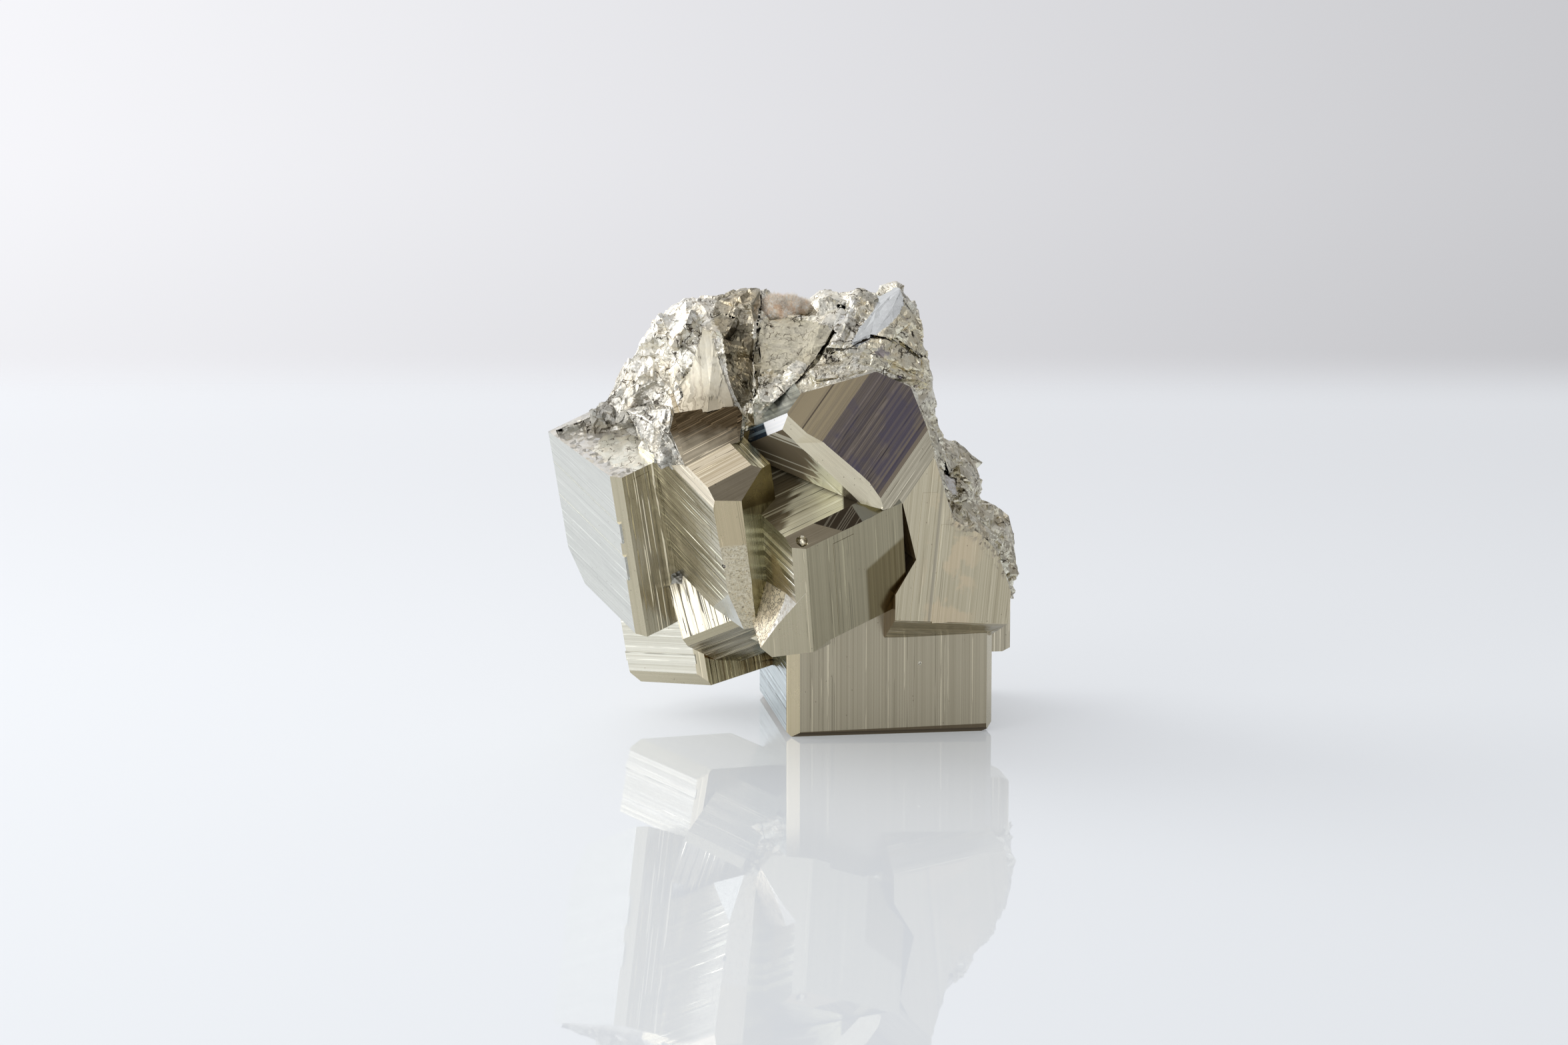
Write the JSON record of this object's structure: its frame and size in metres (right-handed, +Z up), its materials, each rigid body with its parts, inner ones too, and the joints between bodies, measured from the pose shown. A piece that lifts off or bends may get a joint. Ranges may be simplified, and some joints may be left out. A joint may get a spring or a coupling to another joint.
{
  "type": "pyrite specimen",
  "caption": "Cluster of intergrown striated pyrite cubes on a broken lump of the same mineral, with a pale tuft in its top notch and a white crust on its right flank.",
  "frame": {"origin": "bottom centre of the bounding box, on the plane of the base crystal's resting face", "axes": "+Z up, -Y towards the viewer of the crystals, +X to the viewer's right"},
  "size_m": [0.071, 0.0594, 0.0674],
  "materials": {
    "pyrite": "pale metallic, striated crystal faces and sparkling broken faces",
    "tuft": "fine pinkish white needles, matt",
    "crust": "powdery white, matt"
  },
  "bodies": {
    "root": {"pyrite_cluster": "pyrite", "pale_tuft": "tuft", "white_crust": "crust"}
  },
  "joints": []
}
